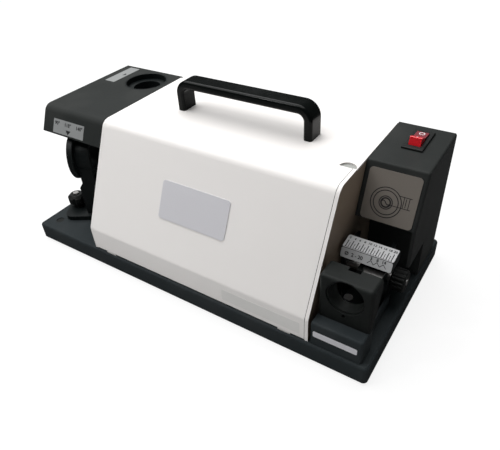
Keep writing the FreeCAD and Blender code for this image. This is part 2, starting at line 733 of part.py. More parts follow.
# Run capacitor and its clip inside the right housing
capacitor_radius = size("capacitor_radius", 15)
capacitor_length = size("capacitor_length", 56)
capacitor_setback = size("capacitor_setback", 24)
clip_wall = size("clip_wall", 1.5)
clip_height = size("clip_height", 14)
capacitor_y = cover_back - capacitor_setback
turned("run_capacitor",
       [(0, 0), (capacitor_radius, 0), (capacitor_radius, capacitor_length), (0, capacitor_length)],
       housing_middle, capacitor_y, deck)
turned("capacitor_clip",
       [(capacitor_radius + fit, 0), (capacitor_radius + fit + clip_wall, 0),
        (capacitor_radius + fit + clip_wall, clip_height), (capacitor_radius + fit, clip_height)],
       housing_middle, capacitor_y, deck)

# Setting station: front wall with its ledge and a low side rail
station_wall = size("station_wall", 4)
station_corner = size("station_corner", 2.5)
station_edge = size("station_edge", 2)
rail_height = size("rail_height", 11.5)
rail_thickness = size("rail_thickness", 2)
rail_inset = size("rail_inset", 5)
rail_tail = size("rail_tail", 20)
frame = new_body("setting_frame")
pad(frame, "XY", deck, flange_height, rectangle(station_left, cover_front, station_right, ledge_back))
round_edges(frame, station_corner, edges_along(frame, "z", x=station_right, y=cover_front))
round_edges(frame, station_edge, edges_along(frame, "x", y=cover_front, z=bend_z))
cut(frame, "XY", deck, flange_height - station_wall,
    rectangle(station_left + station_wall, cover_front + station_wall,
              station_right - station_wall, ledge_back - station_wall))
rail_x = station_right - rail_inset - rail_thickness
pad(frame, "XY", deck, rail_height, rectangle(rail_x, ledge_back, rail_x + rail_thickness, bracket_front + rail_tail))

# Setting socket: a block on the ledge with a level bore for the chuck and a sloped back
socket_height = size("socket_height", 42.5)
socket_depth = size("socket_depth", 18)
socket_foot = size("socket_foot", 7)
socket_web = size("socket_web", 12)
bore_height = size("bore_height", 27)
bore_lead = size("bore_lead", 1.5)
socket_edge = size("socket_edge", 3)
notch_width = size("notch_width", 10)
notch_depth = size("notch_depth", 4)
peep_radius = size("peep_radius", 1.6)
peep_drop = size("peep_drop", 18.5)
socket_front = cover_front + socket_setback
socket_top = bend_z + socket_height
bore_z = bend_z + bore_height
socket_back = socket_front + socket_depth
socket = new_body("setting_socket")
pad(socket, "YZ", station_left, station_right - station_left,
    [(socket_front, bend_z), (socket_front, socket_top), (socket_back, socket_top),
     (socket_back, socket_top - socket_web), (socket_front + socket_foot, bend_z)])
round_edges(socket, socket_edge, edges_along(socket, "x", y=socket_front, z=socket_top))
round_edges(socket, socket_edge, edges_along(socket, "z", y=socket_front))
cut(socket, "XZ", socket_front, socket_depth, circle(station_middle, bore_z, bore_radius))
cut(socket, "XZ", socket_front, bore_lead, circle(station_middle, bore_z, bore_radius + bore_lead))
cut(socket, "XZ", socket_front, socket_depth, circle(station_middle, bore_z - peep_drop, peep_radius))
cut(socket, "XY", socket_top - notch_depth, notch_depth,
    rectangle(station_middle - notch_width / 2, socket_back - notch_depth,
              station_middle + notch_width / 2, socket_back))

# Setting bracket: two posts on a foot, which carry the scale block, the guide rod and the lead screw
post_thickness = size("post_thickness", 2.5)
post_span = size("post_span", 33.5)
post_height = size("post_height", 57)
bracket_foot = size("bracket_foot", 3)
lead_setback = size("lead_setback", 24)
lead_height = size("lead_height", 27)
lead_radius = size("lead_radius", 3)
rod_setback = size("rod_setback", 7)
rod_height = size("rod_height", 41)
rod_radius = size("rod_radius", 2.5)
bracket_screw_inset = size("bracket_screw_inset", 7)
bracket_screw_setback = size("bracket_screw_setback", 5)
lead_y = bracket_front + lead_setback
lead_z = deck + lead_height
rod_y = bracket_front + rod_setback
rod_z = deck + rod_height
post_left = station_left
post_right = station_left + post_span
post_top = deck + post_height
bracket = new_body("setting_bracket")
pad(bracket, "XZ", bracket_front, bracket_depth,
    [(post_left, deck), (post_left, post_top), (post_left + post_thickness, post_top),
     (post_left + post_thickness, deck + bracket_foot), (post_right - post_thickness, deck + bracket_foot),
     (post_right - post_thickness, post_top), (post_right, post_top), (post_right, deck)])
cut(bracket, "YZ", post_left, post_span, circle(lead_y, lead_z, lead_radius + fit))
cut(bracket, "YZ", post_left, post_span, circle(rod_y, rod_z, rod_radius + fit))
bracket_screws = []
bracket_screw_y = bracket_front + bracket_screw_setback
for number, x in enumerate((post_left + bracket_screw_inset, post_right - bracket_screw_inset), 1):
    cut(bracket, "XY", deck, bracket_foot, circle(x, bracket_screw_y, foot_screw_radius + screw_clearance))
    cut(base, "XY", deck - deck_thickness, deck_thickness,
        circle(x, bracket_screw_y, foot_screw_radius + screw_clearance))
    bracket_screws.append(screw(f"bracket_screw_{number}", x, bracket_screw_y, deck + bracket_foot,
                                foot_head_radius, foot_head_height, foot_screw_radius,
                                bracket_foot + deck_thickness))
group("bracket_screws", bracket_screws)

# Scale block on the posts: its top and front carry the diameter scale
scale_reach = size("scale_reach", 5)
scale_depth = size("scale_depth", 17.7)
scale_height = size("scale_height", 9.6)
scale_top_fall = size("scale_top_fall", 1.9)
scale_top_depth = size("scale_top_depth", 14.3)
scale_right_gap = size("scale_right_gap", 0.5)
scale_front = bracket_front - scale_reach
scale_top = post_top + scale_height
scale_back = scale_front + scale_depth
scale_length = station_right - scale_right_gap - post_left
scale = new_body("scale_block")
pad(scale, "YZ", post_left, scale_length,
    [(scale_front, post_top), (scale_back - scale_top_depth, scale_top - scale_top_fall),
     (scale_back, scale_top), (scale_back, post_top)])

# Setting slide on the guide rod and lead screw, with its steel finger
slide_width = size("slide_width", 12)
slide_inset = size("slide_inset", 16)
slide_nut = size("slide_nut", 15)
slide_web = size("slide_web", 12)
slide_shelf = size("slide_shelf", 3)
slide_reach = size("slide_reach", 7)
slide_under = size("slide_under", 6)
slide_left = post_left + slide_inset
slide_top = post_top - slide_under
nut_low = lead_z - slide_nut / 2
nut_high = lead_z + slide_nut / 2
web_front = rod_y - slide_web / 2
web_back = rod_y + slide_web / 2
slide_front = bracket_front - slide_reach
slide = new_body("setting_slide")
pad(slide, "YZ", slide_left, slide_width,
    [(web_front, nut_low), (lead_y + slide_nut / 2, nut_low), (lead_y + slide_nut / 2, nut_high),
     (web_back, nut_high), (web_back, slide_top), (slide_front, slide_top),
     (slide_front, slide_top - slide_shelf), (web_front, slide_top - slide_shelf)])
cut(slide, "YZ", slide_left, slide_width, circle(lead_y, lead_z, lead_radius + fit))
cut(slide, "YZ", slide_left, slide_width, circle(rod_y, rod_z, rod_radius + fit))
finger_length = size("finger_length", 17)
finger_depth = size("finger_depth", 9)
finger_thickness = size("finger_thickness", 1.5)
finger_start = size("finger_start", 4)
finger_gap = size("finger_gap", 0.5)
finger_tip = size("finger_tip", 3)
finger_left = slide_left + finger_start
finger_back = bracket_front - finger_gap
finger = new_body("setting_finger")
pad(finger, "XY", slide_top, finger_thickness,
    [(finger_left, finger_back - finger_tip), (finger_left, finger_back),
     (finger_left + finger_length, finger_back), (finger_left + finger_length, finger_back - finger_depth),
     (finger_left + finger_tip, finger_back - finger_depth)])
turned("guide_rod", [(0, 0), (rod_radius, 0), (rod_radius, post_span), (0, post_span)],
       post_left, rod_y, rod_z, "x")

# Lead screw with its thumb wheel
wheel_radius = size("thumb_wheel_radius", 10)
wheel_width = size("thumb_wheel_width", 12)
wheel_gap = size("thumb_wheel_gap", 3)
wheel_chamfer = size("thumb_wheel_chamfer", 1.5)
flute_radius = size("flute_radius", 1.6)
flute_count = 18
lead_tail = size("lead_tail", 0.4)
collar_radius = size("collar_radius", 5)
wheel_left = post_span + wheel_gap
lead_end = wheel_left + wheel_width + lead_tail
turned("lead_screw",
       [(0, 0), (lead_radius, 0), (lead_radius, post_span + 2 * fit), (collar_radius, post_span + 2 * fit),
        (collar_radius, wheel_left), (lead_radius, wheel_left), (lead_radius, lead_end), (0, lead_end)],
       post_left, lead_y, lead_z, "x")
thumb_wheel = turned("setting_thumb_wheel",
                     [(lead_radius + fit, 0), (wheel_radius - wheel_chamfer, 0), (wheel_radius, wheel_chamfer),
                      (wheel_radius, wheel_width - wheel_chamfer), (wheel_radius - wheel_chamfer, wheel_width),
                      (lead_radius + fit, wheel_width)],
                     post_left + wheel_left, lead_y, lead_z, "x")


def fluted(body, pitch_radius, radius, height, count):
    """Round flutes along the axis of a turned piece, made in its own frame."""
    body.recompute(True)
    before = body.Shape.Volume
    flute = extruded(body, "Pocket", "XY", 0, height, [circle(pitch_radius, 0, radius)])
    flute.Reversed = True
    pattern = body.newObject("PartDesign::PolarPattern", f"{body.Name}_flutes")
    pattern.Originals = [flute]
    pattern.Axis = (flute.Profile[0], ["N_Axis"])
    pattern.Angle = 360
    pattern.Occurrences = count
    body.Tip = pattern
    body.recompute(True)
    if body.Shape.Volume > before - NEAR:
        raise RuntimeError(f"{body.Label}: the flutes removed nothing")


fluted(thumb_wheel, wheel_radius + flute_radius / 2, flute_radius, wheel_width, flute_count)

# Point angle swivel, built along its own axis: X runs outwards from the pivot bolt
swivel_plate_thickness = size("swivel_plate_thickness", 5)
swivel_plate_reach = size("swivel_plate_reach", 56)
swivel_plate_tail = size("swivel_plate_tail", 12)
swivel_plate_width = size("swivel_plate_width", 46)
swivel_plate_corner = size("swivel_plate_corner", 9)
swivel_tail_corner = size("swivel_tail_corner", 10)


def on_swivel(body, lift):
    place(body, pivot_x, pivot_y, deck + lift, (0, 0, 1), swivel_turn)


swivel_plate = new_body("swivel_plate")
half_plate = swivel_plate_width / 2
pad(swivel_plate, "XY", 0, swivel_plate_thickness,
    rectangle(-swivel_plate_tail, -half_plate, swivel_plate_reach, half_plate))
round_edges(swivel_plate, swivel_plate_corner, edges_along(swivel_plate, "z", x=swivel_plate_reach))
round_edges(swivel_plate, swivel_tail_corner, edges_along(swivel_plate, "z", x=-swivel_plate_tail))
cut(swivel_plate, "XY", 0, swivel_plate_thickness, circle(0, 0, pivot_radius + fit))
cut(swivel_plate, "XY", 0, swivel_plate_thickness, circle(stud_reach, 0, stud_radius + fit))
on_swivel(swivel_plate, 0)

# Swivel bracket: a foot, a curved web and the ring that holds the socket
socket_axis_height = size("socket_axis_height", 69)
ring_start = size("ring_start", 12.5)
ring_length = size("ring_length", 15)
ring_radius = size("ring_radius", 19)
ring_bore = size("ring_bore", 16.2)
web_thickness = size("web_thickness", 34)
web_start = size("web_start", 24)
web_foot = size("web_foot", 31)
web_waist = size("web_waist", 31.5)
web_inner_waist = size("web_inner_waist", 15.5)
web_waist_height = size("web_waist_height", 38)
web_wall = size("web_wall", 5)
web_clear = size("web_clear", 0.3)
socket_flange_radius = size("socket_flange_radius", 25)
swivel_bracket = new_body("swivel_bracket")
web_base = swivel_plate_thickness
ring_end = ring_start + ring_length
pad(swivel_bracket, "XZ", -web_thickness / 2, web_thickness,
    [(web_start, web_base), (web_foot, web_base), (web_waist, web_waist_height),
     (ring_end, socket_axis_height - socket_flange_radius - web_clear), (ring_end, socket_axis_height),
     (ring_start, socket_axis_height), (web_inner_waist, web_waist_height)])
cheek_gap = web_thickness - 2 * web_wall
cut(swivel_bracket, "XZ", -cheek_gap / 2, cheek_gap,
    [(0, web_base + web_wall), (web_foot - web_wall, web_base + web_wall),
     (web_waist - web_wall, web_waist_height), (ring_end - web_wall, socket_axis_height - ring_radius),
     (0, socket_axis_height - ring_radius)])
pad(swivel_bracket, "YZ", ring_start, ring_length, circle(0, socket_axis_height, ring_radius))
cut(swivel_bracket, "YZ", ring_start, ring_length, circle(0, socket_axis_height, ring_bore))
on_swivel(swivel_bracket, 0)

# Angle socket: a flanged sleeve in the ring
socket_flange = size("socket_flange", 6)
socket_flange_edge = size("socket_flange_edge", 1.5)
angle_socket = new_body("angle_socket")
pad(angle_socket, "YZ", ring_start + ring_length, socket_flange,
    circle(0, socket_axis_height, socket_flange_radius))
round_edges(angle_socket, socket_flange_edge,
            edges_in_plane(angle_socket, "x", ring_start + ring_length + socket_flange))
pad(angle_socket, "YZ", ring_start, ring_length, circle(0, socket_axis_height, ring_bore - fit))
cut(angle_socket, "YZ", ring_start, ring_length + socket_flange,
    circle(0, socket_axis_height, bore_radius))
on_swivel(angle_socket, 0)

# Pivot bolt and clamp knob of the swivel
bolt_head_radius = size("bolt_head_radius", 6.5)
bolt_head_height = size("bolt_head_height", 4)
bolt_nut_height = size("bolt_nut_height", 4)
bolt_top = swivel_plate_thickness + bolt_head_height
turned("pivot_bolt",
       [(0, -deck_thickness - bolt_nut_height), (bolt_head_radius, -deck_thickness - bolt_nut_height),
        (bolt_head_radius, -deck_thickness), (pivot_radius, -deck_thickness),
        (pivot_radius, swivel_plate_thickness), (bolt_head_radius, swivel_plate_thickness),
        (bolt_head_radius, bolt_top), (0, bolt_top)],
       pivot_x, pivot_y, deck)
knob_radius = size("knob_radius", 9.5)
knob_foot_radius = size("knob_foot_radius", 6)
knob_height = size("knob_height", 15)
knob_crown = size("knob_crown", 3)
knob_flute = size("knob_flute", 2.4)
knob_flute_count = 6
stud_nut_radius = size("stud_nut_radius", 5.5)
stud_nut_height = size("stud_nut_height", 5)
stud_tip = size("stud_tip", 1.5)
stud_clear = size("stud_clear", 0.3)
stud_x = pivot_x + stud_reach * cos(swivel_turn)
stud_y = pivot_y + stud_reach * sin(swivel_turn)
knob_base = swivel_plate_thickness
knob = turned("clamp_knob",
              [(stud_radius + fit, 0), (knob_foot_radius, 0), (knob_foot_radius, knob_crown),
               (knob_radius, 2 * knob_crown), (knob_radius, knob_height - knob_crown),
               (knob_radius - knob_crown, knob_height), (stud_radius + fit, knob_height)],
              stud_x, stud_y, deck + knob_base)
fluted(knob, knob_radius + knob_flute / 2, knob_flute, knob_height, knob_flute_count)
nut_top = -deck_thickness - stud_clear
turned("clamp_stud",
       [(0, nut_top - stud_nut_height), (stud_nut_radius, nut_top - stud_nut_height),
        (stud_nut_radius, nut_top), (stud_radius, nut_top), (stud_radius, knob_base + knob_height + stud_tip),
        (0, knob_base + knob_height + stud_tip)],
       stud_x, stud_y, deck)

# Motor: can, stator, bells, bearings and cradle, on an axis along X
can_left_gap = size("can_left_gap", 74)
can_right_gap = size("can_right_gap", 48)
can_radius = size("can_radius", 46)
can_wall = size("can_wall", 2.5)
stator_margin = size("stator_margin", 25)
stator_bore = size("stator_bore", 30)
winding_depth = size("winding_depth", 14)
winding_outer = size("winding_outer", 40)
winding_inner = size("winding_inner", 33)
bell_wall = size("bell_wall", 5)
bell_lip = size("bell_lip", 6)
bearing_radius = size("bearing_radius", 16)
bearing_width = size("bearing_width", 11)
shaft_radius = size("shaft_radius", 7.5)
shaft_clearance = size("shaft_clearance", 2)
hub_radius = size("hub_radius", 20)
can_left = cover_left + can_left_gap
can_right = cover_right - can_right_gap
can_length = can_right - can_left
stator_length = can_length - 2 * stator_margin
can_inner = can_radius - can_wall


def on_axis(label, profile, x):
    return turned(label, profile, x, motor_y, motor_z, "x")


def ring(inner, outer, start, length):
    return [(inner, start), (outer, start), (outer, start + length), (inner, start + length)]


on_axis("motor_can", ring(can_inner, can_radius, 0, can_length), can_left)
stator_start = stator_margin
on_axis("stator_core", ring(stator_bore, can_inner - fit, 0, stator_length), can_left + stator_start)
on_axis("winding_left", ring(winding_inner, winding_outer, -winding_depth, winding_depth),
        can_left + stator_start)
on_axis("winding_right", ring(winding_inner, winding_outer, 0, winding_depth),
        can_right - stator_start)
bell_hole = shaft_radius + shaft_clearance
bell = [(bell_hole, -bearing_width), (hub_radius, -bearing_width), (hub_radius, -bell_wall),
        (can_radius, -bell_wall), (can_radius, 0), (can_inner - fit, 0), (can_inner - fit, bell_lip),
        (can_inner - fit - bell_wall, bell_lip), (can_inner - fit - bell_wall, 0), (bearing_radius, 0),
        (bearing_radius, bell_wall - bearing_width), (bell_hole, bell_wall - bearing_width)]
on_axis("motor_bell_left", bell, can_left)
on_axis("motor_bell_right", [(radius, -along) for radius, along in bell], can_right)
bearing_start = bell_wall - bearing_width
bearing_bore = shaft_radius + fit
bearing_outer = bearing_radius - fit
on_axis("bearing_left", ring(bearing_bore, bearing_outer, bearing_start, bearing_width), can_left)
on_axis("bearing_right", ring(bearing_bore, bearing_outer, -bearing_start - bearing_width, bearing_width),
        can_right)

# Motor cradle on the deck, with two straps over the can
cradle_half = size("cradle_half", 53)
cradle_rise = size("cradle_rise", 28)
cradle_foot = size("cradle_foot", 5)
saddle_width = size("saddle_width", 16)
saddle_inset = size("saddle_inset", 12)
strap_wall = size("strap_wall", 1.5)
strap_width = size("strap_width", 12)
strap_screw_length = size("strap_screw_length", 15)
cradle = new_body("motor_cradle")
pad(cradle, "XY", deck, cradle_foot,
    rectangle(can_left, motor_y - cradle_half, can_right, motor_y + cradle_half))
saddle_places = (can_left + saddle_inset, can_right - saddle_inset - saddle_width)
for saddle_x in saddle_places:
    pad(cradle, "YZ", saddle_x, saddle_width,
        rectangle(motor_y - cradle_half, deck + cradle_foot, motor_y + cradle_half, deck + cradle_rise))
cut(cradle, "YZ", can_left, can_length, circle(motor_y, motor_z, can_radius + fit))
straps = []
strap_screws = []
ear_low = deck + cradle_rise
ear_top = ear_low + 2 * strap_wall
for number, saddle_x in enumerate(saddle_places, 1):
    strap = doc.addObject("PartDesign::Body", f"strap_{number}")
    strap_left = saddle_x + (saddle_width - strap_width) / 2
    pad(strap, "YZ", strap_left, strap_width, circle(motor_y, motor_z, can_radius + fit + strap_wall))
    pad(strap, "YZ", strap_left, strap_width,
        rectangle(motor_y - cradle_half, ear_low, motor_y + cradle_half, ear_top))
    cut(strap, "YZ", strap_left, strap_width, circle(motor_y, motor_z, can_radius + fit))
    cut(strap, "YZ", strap_left, strap_width,
        rectangle(motor_y - cradle_half, deck, motor_y + cradle_half, ear_low))
    straps.append(strap)
    for side in (-1, 1):
        x = saddle_x + saddle_width / 2
        y = motor_y + side * can_radius
        hole = circle(x, y, foot_screw_radius + screw_clearance)
        cut(strap, "XY", ear_low, ear_top - ear_low, hole)
        cut(cradle, "XY", ear_top - strap_screw_length, strap_screw_length, hole)
        strap_screws.append(screw(f"strap_screw_{number}_{side + 2}", x, y, ear_top, foot_head_radius,
                                  foot_head_height, foot_screw_radius, strap_screw_length))
group("motor_straps", straps)
group("strap_screws", strap_screws)

# Rotor: shaft, core, fan, and the grinding wheel on its left end
spindle_radius = size("spindle_radius", 6)
rotor_shaft_radius = size("rotor_shaft_radius", 9)
air_gap = size("air_gap", 0.5)
wheel_gap_left = size("wheel_gap_left", 16)
stone_width = size("stone_width", 12)
stone_radius = size("stone_radius", 42)
stone_edge = size("stone_edge", 1)
hub_flange = size("hub_flange", 5)
hub_flange_radius = size("hub_flange_radius", 18)
nut_radius = size("nut_radius", 9)
nut_width = size("nut_width", 7)
washer_width = size("washer_width", 3)
spindle_tip = size("spindle_tip", 2)
fan_gap = size("fan_gap", 8)
fan_width = size("fan_width", 10)
fan_radius = size("fan_radius", 38)
fan_hub_radius = size("fan_hub_radius", 13)
fan_plate = size("fan_plate", 2)
blade_count = 7
blade_thickness = size("blade_thickness", 3)
shaft_tail = size("shaft_tail", 2)
stone_right = cover_left - wheel_gap_left
stone_left = stone_right - stone_width
nut_left = stone_left - washer_width - nut_width
shaft_left = nut_left - spindle_tip
shoulder = stone_right + hub_flange
bearing_inside_left = can_left + bell_wall
bearing_inside_right = can_right - bell_wall
fan_left = can_right + bearing_width + fan_gap
shaft_right = fan_left + fan_width + shaft_tail
on_axis("rotor_shaft",
        [(0, 0), (spindle_radius, 0), (spindle_radius, shoulder - shaft_left),
         (shaft_radius, shoulder - shaft_left), (shaft_radius, bearing_inside_left - shaft_left),
         (rotor_shaft_radius, bearing_inside_left - shaft_left),
         (rotor_shaft_radius, bearing_inside_right - shaft_left),
         (shaft_radius, bearing_inside_right - shaft_left), (shaft_radius, shaft_right - shaft_left),
         (0, shaft_right - shaft_left)], shaft_left)
on_axis("rotor_core", ring(rotor_shaft_radius + fit, stator_bore - air_gap, 0, stator_length),
        can_left + stator_start)
wheel_bore = spindle_radius + fit
on_axis("wheel_flange", ring(wheel_bore, hub_flange_radius, 0, hub_flange), stone_right)
on_axis("grinding_wheel",
        [(wheel_bore, 0), (stone_radius - stone_edge, 0), (stone_radius, stone_edge),
         (stone_radius, stone_width - stone_edge), (stone_radius - stone_edge, stone_width),
         (wheel_bore, stone_width)], stone_left)
on_axis("wheel_nut",
        [(wheel_bore, 0), (nut_radius, 0), (nut_radius, nut_width), (hub_flange_radius, nut_width),
         (hub_flange_radius, nut_width + washer_width), (wheel_bore, nut_width + washer_width)], nut_left)
fan = on_axis("cooling_fan",
              [(bearing_bore, 0), (fan_radius, 0), (fan_radius, fan_plate), (fan_hub_radius, fan_plate),
               (fan_hub_radius, fan_width), (bearing_bore, fan_width)], fan_left)
blade = extruded(fan, "Pad", "XY", fan_plate, fan_width - fan_plate,
                 [rectangle(fan_hub_radius - fan_plate, -blade_thickness / 2, fan_radius - fan_plate,
                            blade_thickness / 2)])
blades = fan.newObject("PartDesign::PolarPattern", "cooling_fan_blades")
blades.Originals = [blade]
blades.Axis = (blade.Profile[0], ["N_Axis"])
blades.Angle = 360
blades.Occurrences = blade_count
fan.Tip = blades

doc.recompute()
for thing in doc.Objects:
    if "Invalid" in thing.State or "Error" in thing.State:
        raise RuntimeError(f"{thing.Label}: {thing.State}")
os.makedirs("parts", exist_ok=True)
for piece in finished:
    shape = piece.Shape
    if shape.isNull() or not shape.isValid() or not shape.Solids:
        raise RuntimeError(f"{piece.Label}: the shape is not sound")
    shape.exportStep(f"parts/{piece.Label}.step")
print(len(finished), "sub-parts,", sum(len(piece.Shape.Solids) for piece in finished), "solids")
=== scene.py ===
"""Drill bit sharpener: finishes, stickers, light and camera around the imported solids.

Metres, +Z up, +Y to the back.
"""
import math

import bpy
from mathutils import Matrix, Vector


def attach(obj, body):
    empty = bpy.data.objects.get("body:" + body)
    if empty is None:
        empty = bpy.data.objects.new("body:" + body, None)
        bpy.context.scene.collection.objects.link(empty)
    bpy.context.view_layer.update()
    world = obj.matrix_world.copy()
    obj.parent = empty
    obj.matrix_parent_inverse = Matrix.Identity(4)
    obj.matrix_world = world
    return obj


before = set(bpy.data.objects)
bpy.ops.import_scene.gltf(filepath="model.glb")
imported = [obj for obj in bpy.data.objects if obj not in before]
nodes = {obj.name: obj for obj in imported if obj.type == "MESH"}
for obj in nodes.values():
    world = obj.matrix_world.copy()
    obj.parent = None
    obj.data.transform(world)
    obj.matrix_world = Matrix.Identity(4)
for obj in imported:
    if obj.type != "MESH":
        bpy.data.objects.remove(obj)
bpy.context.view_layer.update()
MM = 0.001


# Studio: a grey board for a floor, one broad soft box overhead and a small weak key at the left.
# The board is lifted to nearly white for the camera alone and is dim in reflections, and it keeps
# the shadow. The camera stands where the machine's edges in the photograph place it.
class Flow:
    """One output in a material's node tree; a sum written on it adds Math nodes."""

    def __init__(self, finish, socket):
        self.finish = finish
        self.socket = socket

    def sum(self, operation, first, second):
        return self.finish.node("ShaderNodeMath", {"operation": operation}, {0: first, 1: second})

    def __add__(self, other):
        return self.sum("ADD", self, other)

    def __radd__(self, other):
        return self.sum("ADD", other, self)

    def __sub__(self, other):
        return self.sum("SUBTRACT", self, other)

    def __rsub__(self, other):
        return self.sum("SUBTRACT", other, self)

    def __mul__(self, other):
        return self.sum("MULTIPLY", self, other)

    def __rmul__(self, other):
        return self.sum("MULTIPLY", other, self)

    def __gt__(self, other):
        return self.sum("GREATER_THAN", self, other)


class Finish:
    """A material with its nodes: patterns are read on Object coordinates, in metres."""

    def __init__(self, name, **fixed):
        self.material = bpy.data.materials.new(name)
        self.material.use_nodes = True
        self.tree = self.material.node_tree
        self.shader = self.tree.nodes["Principled BSDF"]
        for socket, value in fixed.items():
            self.drive(socket.replace("_", " "), value)
        self.spot = self.node("ShaderNodeTexCoord", out="Object")

    def node(self, kind, settings=None, sockets=None, out=0):
        made = self.tree.nodes.new(kind)
        for name, value in (settings or {}).items():
            if name == "stops":
                self.fill_ramp(made.color_ramp, value)
            else:
                setattr(made, name, value)
        for name, value in (sockets or {}).items():
            self.feed(made.inputs[name], value)
        return Flow(self, made.outputs[out])

    def fill_ramp(self, ramp, stops):
        while len(ramp.elements) < len(stops):
            ramp.elements.new(1)
        for element, (place, shade) in zip(ramp.elements, stops):
            element.position = place
            element.color = (shade, shade, shade, 1)

    def feed(self, socket, value):
        if isinstance(value, Flow):
            self.tree.links.new(value.socket, socket)
        else:
            socket.default_value = value

    def drive(self, socket, value):
        self.feed(self.shader.inputs[socket], value)

    def noise(self, scale, detail=3.0, stretch=(1, 1, 1)):
        spot = self.node("ShaderNodeMapping", {}, {"Vector": self.spot, "Scale": stretch})
        pattern = {"Vector": spot, "Scale": scale, "Detail": detail}
        return self.node("ShaderNodeTexNoise", {}, pattern)

    def ramp(self, value, *stops):
        return self.node("ShaderNodeValToRGB", {"stops": stops}, {0: value})

    def mix(self, amount, low, high):
        sockets = {0: amount, 6: low, 7: high}
        return self.node("ShaderNodeMix", {"data_type": "RGBA"}, sockets, out=2)

    def mottle(self, pattern, dark, pale, rough, spread):
        """Let colour and roughness follow one pattern."""
        self.drive("Base Color", self.mix(pattern, dark, pale))
        self.drive("Roughness", rough + spread * pattern)

    def bump(self, height, strength, depth):
        settings = {"Height": height, "Strength": strength, "Distance": depth}
        self.drive("Normal", self.node("ShaderNodeBump", {}, settings))

    def along(self, axis):
        """The place along one axis, in metres."""
        return self.node("ShaderNodeSeparateXYZ", {}, {0: self.spot}, out=axis)

    def facing_right(self):
        """One where the surface faces right, nought elsewhere."""
        normal = self.node("ShaderNodeNewGeometry", out="Normal")
        return self.node("ShaderNodeSeparateXYZ", {}, {0: normal}, out="X") > 0.7

    def coat(self, *pieces):
        for piece in pieces:
            piece.data.materials.clear()
            piece.data.materials.append(self.material)

    def coat_nodes(self, *names):
        self.coat(*[nodes[name] for name in names])


def tone(red, green, blue):
    return (red, green, blue, 1.0)


def deselect():
    if bpy.context.mode != "OBJECT":
        bpy.ops.object.mode_set(mode="OBJECT")
    bpy.ops.object.select_all(action="DESELECT")


floor_span = 6.0
board_grey = tone(0.62, 0.62, 0.62)
board_reflected = tone(0.1, 0.1, 0.1)
floor_glow = 0.72
glow_strength = 1.16
deselect()
bpy.ops.mesh.primitive_plane_add(size=floor_span, location=(0, 0, 0))
floor = bpy.context.object
floor.name = "studio_floor"
floor_board = Finish("studio_board", Roughness=0.9)
reflected = floor_board.node("ShaderNodeLightPath", out="Is Glossy Ray")
floor_board.drive("Base Color", floor_board.mix(reflected, board_grey, board_reflected))
seen = floor_board.node("ShaderNodeLightPath", out="Is Camera Ray")
glow = floor_board.node("ShaderNodeEmission", {},
                        {"Color": tone(1, 1, 1), "Strength": glow_strength})
board = floor_board.node("ShaderNodeMixShader", {}, {0: seen * floor_glow, 2: glow})
floor_links = floor_board.tree.links
floor_links.new(floor_board.shader.outputs[0], board.socket.node.inputs[1])
floor_links.new(board.socket, floor_board.tree.nodes["Material Output"].inputs["Surface"])
floor_board.coat(floor)
lamp_target = Vector((0, 0, 0.08))


def soft_box(name, place, width, depth, power):
    lamp = bpy.data.lights.new(name, "AREA")
    lamp.shape = "RECTANGLE"
    lamp.size = width
    lamp.size_y = depth
    lamp.energy = power
    holder = bpy.data.objects.new(name, lamp)
    bpy.context.scene.collection.objects.link(holder)
    holder.location = place
    aim = (lamp_target - Vector(place)).to_track_quat("-Z", "Y")
    holder.rotation_euler = aim.to_euler()


soft_box("overhead_box", place=(-0.45, 0.15, 1.5), width=2.4, depth=2.0, power=55.0)
soft_box("left_key", place=(-0.65, -0.75, 1.2), width=0.11, depth=0.11, power=2.3)
air_light = 0.08
air_seen = 1.0
world = bpy.data.worlds.new("studio_air")
bpy.context.scene.world = world
world.use_nodes = True
air = world.node_tree
background = air.nodes["Background"]
rays = air.nodes.new("ShaderNodeLightPath")
level = air.nodes.new("ShaderNodeMapRange")
level.inputs["To Min"].default_value = air_light
level.inputs["To Max"].default_value = air_seen
air.links.new(rays.outputs["Is Camera Ray"], level.inputs["Value"])
background.inputs["Color"].default_value = tone(1, 1, 1)
air.links.new(level.outputs[0], background.inputs["Strength"])

camera_place = (0.2561, -0.3252, 0.3421)
right = Vector((0.83926983, 0.54127306, -0.05147454))
down = Vector((0.29555274, -0.53362488, -0.79239704))
ahead = right.cross(down)
lens = bpy.data.cameras.new("photo_camera")
lens.sensor_width = 36.0
lens.lens = 36.28
camera = bpy.data.objects.new("photo_camera", lens)
bpy.context.scene.collection.objects.link(camera)
turn = Matrix((right, -down, -ahead)).transposed()
camera.matrix_world = Matrix.Translation(camera_place) @ turn.to_4x4()
bpy.context.scene.camera = camera
bpy.context.scene.view_settings.view_transform = "Standard"


# Base casting, setting frame, hood and right housing: iron and steel under powder coat, bluer on
# the first two than on the others. The coat has a fine pebble, a cloudy tone and a little dust.
grinding_dust = tone(0.16, 0.155, 0.145)


def powder_coat(name, dark, pale, *pieces):
    coat = Finish(name, Specular_IOR_Level=0.07)
    dust = coat.ramp(coat.noise(26.0, 5.0), (0.48, 0.0), (0.85, 1.0))
    cloud = coat.noise(7.0)
    coat.drive("Base Color", coat.mix(dust * 0.08, coat.mix(cloud, dark, pale), grinding_dust))
    coat.drive("Roughness", 0.44 + 0.12 * cloud + 0.1 * dust)
    coat.bump(coat.noise(1500.0, 2.0), 0.12, 0.4 * MM)
    coat.coat_nodes(*pieces)


powder_coat("slate_powder_coat", tone(0.0185, 0.0235, 0.026), tone(0.027, 0.033, 0.0355),
            "base_casting", "setting_frame")
powder_coat("charcoal_powder_coat", tone(0.0188, 0.0208, 0.0202), tone(0.0265, 0.029, 0.028),
            "left_hood", "right_housing")


